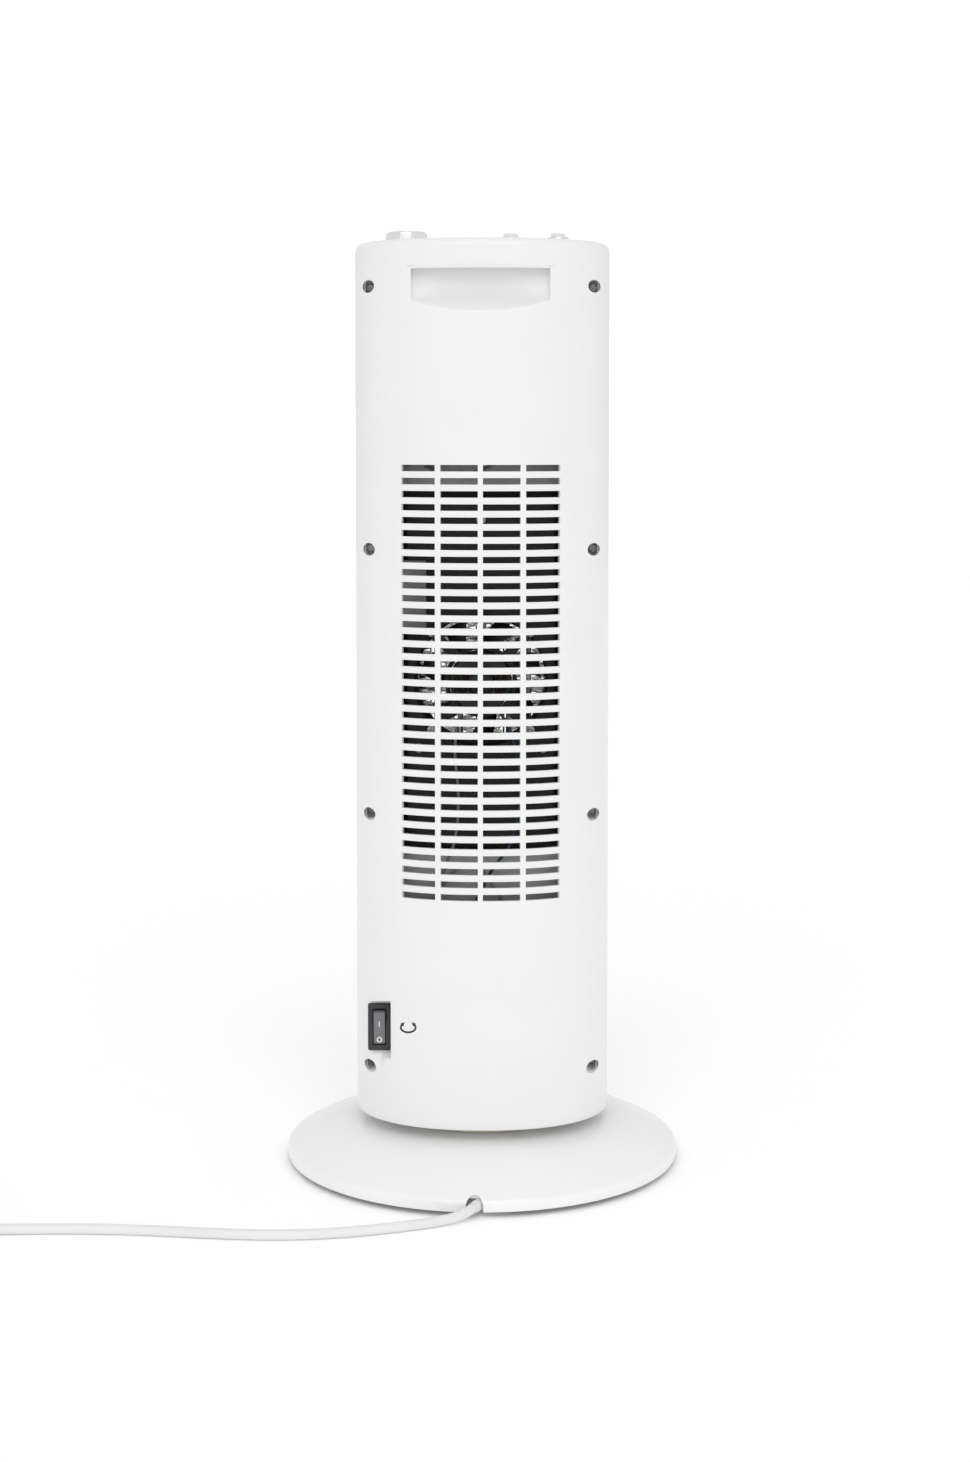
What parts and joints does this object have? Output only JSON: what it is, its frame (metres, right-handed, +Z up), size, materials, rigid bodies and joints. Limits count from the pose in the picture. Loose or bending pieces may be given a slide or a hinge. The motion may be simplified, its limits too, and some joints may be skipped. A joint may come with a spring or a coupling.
{
  "type": "ceramic space heater",
  "caption": "White oscillating tower heater with a slotted rear intake, carrying grip, swing rocker switch and a round weighted base.",
  "frame": {"origin": "centre of the round base, on the floor, measured without the free cord", "axes": "+Z up along the tower, +Y towards the rear with the intake slots and the grip, +X to the side of the swing switch and the thermostat knob; warm air leaves towards -Y"},
  "size_m": [0.5205, 0.2912, 0.5923],
  "materials": {
    "white_shell": "moulded white plastic, satin with a soft gloss",
    "black_plastic": "black heat-resistant moulding, fine matt",
    "switch_plastic": "dark grey switch bezel, fine matt",
    "rocker_plastic": "mid grey rocker with white marks",
    "cast_ballast": "rough cast iron",
    "foot_rubber": "light grey rubber feet",
    "zinc_steel": "zinc-plated steel",
    "natural_nylon": "natural nylon",
    "ceramic_fins": "finned ceramic heating cassettes",
    "chrome_trim": "bright plated plastic",
    "button_plastic": "white glossy buttons",
    "lamp_lens": "amber lamp lens",
    "inner_wire": "grey insulated wire",
    "cord_jacket": "white flexible jacket, soft sheen",
    "tie_plastic": "black strap",
    "plug_brass": "plated brass pins"
  },
  "bodies": {
    "base": {"base_cover": "white_shell", "base_plate": "black_plastic", "ballast_ring": "cast_ballast", "foot_1": "foot_rubber", "foot_2": "foot_rubber", "foot_3": "foot_rubber", "foot_4": "foot_rubber", "base_screw_1": "zinc_steel", "base_screw_2": "zinc_steel", "base_screw_3": "zinc_steel", "swivel_hub": "natural_nylon", "bearing_ring": "natural_nylon", "slotted_arm": "zinc_steel", "base_lead": "inner_wire", "cord_gland": "cord_jacket", "power_cord": "cord_jacket", "cord_coil": "cord_jacket", "cord_tail": "cord_jacket", "cord_tie": "tie_plastic", "plug_body": "cord_jacket", "plug_pin_1": "plug_brass", "plug_pin_2": "plug_brass"},
    "tower": {"rear_cover": "white_shell", "front_cover": "white_shell", "outlet_grille": "black_plastic", "tower_floor": "white_shell", "top_panel": "white_shell", "case_screw_1": "zinc_steel", "case_screw_2": "zinc_steel", "case_screw_3": "zinc_steel", "case_screw_4": "zinc_steel", "case_screw_5": "zinc_steel", "case_screw_6": "zinc_steel", "case_screw_7": "zinc_steel", "case_screw_8": "zinc_steel", "swing_motor": "zinc_steel", "tilt_switch": "black_plastic", "fan_housing": "black_plastic", "motor_bracket": "zinc_steel", "fan_motor": "zinc_steel", "heater_frame": "black_plastic", "ceramic_bar_1": "ceramic_fins", "ceramic_bar_2": "ceramic_fins", "ceramic_bar_3": "ceramic_fins", "thermal_cutout": "zinc_steel", "thermostat": "natural_nylon", "mode_switch": "natural_nylon", "heat_button_ring": "chrome_trim", "fan_button_ring": "chrome_trim", "pilot_lens": "lamp_lens", "rocker_case": "switch_plastic", "terminal_block": "natural_nylon", "wire_loom": "inner_wire"},
    "swing_crank": {"swing_crank": "natural_nylon"},
    "tilt_pendulum": {"tilt_pendulum": "zinc_steel"},
    "fan_wheel": {"fan_wheel": "black_plastic"},
    "thermostat_knob": {"thermostat_knob": "chrome_trim"},
    "heat_button": {"heat_button": "button_plastic"},
    "fan_button": {"fan_button": "button_plastic"},
    "rocker": {"rocker": "rocker_plastic"}
  },
  "joints": [
    {"name": "tower_swing", "type": "hinge", "parent": "base", "child": "tower", "pos_m": [0, 0, 0.032], "axis": [0, 0, 1], "range_deg": [-35, 35]},
    {"name": "crank_turn", "type": "hinge", "parent": "tower", "child": "swing_crank", "pos_m": [0, -0.03, 0.053], "axis": [0, 0, 1], "range_deg": [-125, 125]},
    {"name": "pendulum_swing", "type": "hinge", "parent": "tower", "child": "tilt_pendulum", "pos_m": [-0.04, 0.03, 0.062], "axis": [1, 0, 0], "range_deg": [-25, 25]},
    {"name": "fan_spin", "type": "hinge", "parent": "tower", "child": "fan_wheel", "pos_m": [0, 0.03, 0.312], "axis": [0, 1, 0], "continuous": true},
    {"name": "knob_turn", "type": "hinge", "parent": "tower", "child": "thermostat_knob", "pos_m": [0.048, 0, 0.585], "axis": [0, 0, 1], "range_deg": [-270, 0]},
    {"name": "heat_press", "type": "slide", "parent": "tower", "child": "heat_button", "axis": [0, 0, -1], "range_m": [0, 0.0025], "stiffness_N_per_m": 400},
    {"name": "fan_press", "type": "slide", "parent": "tower", "child": "fan_button", "axis": [0, 0, -1], "range_m": [0, 0.0025], "stiffness_N_per_m": 400},
    {"name": "rocker_tilt", "type": "hinge", "parent": "tower", "child": "rocker", "pos_m": [0.064, 0.037, 0.0923], "axis": [1, 0, 0], "range_deg": [0, 20]}
  ],
  "couplings": [
    {"joint": "crank_turn", "follows": "tower_swing", "ratio": -3.5714}
  ]
}
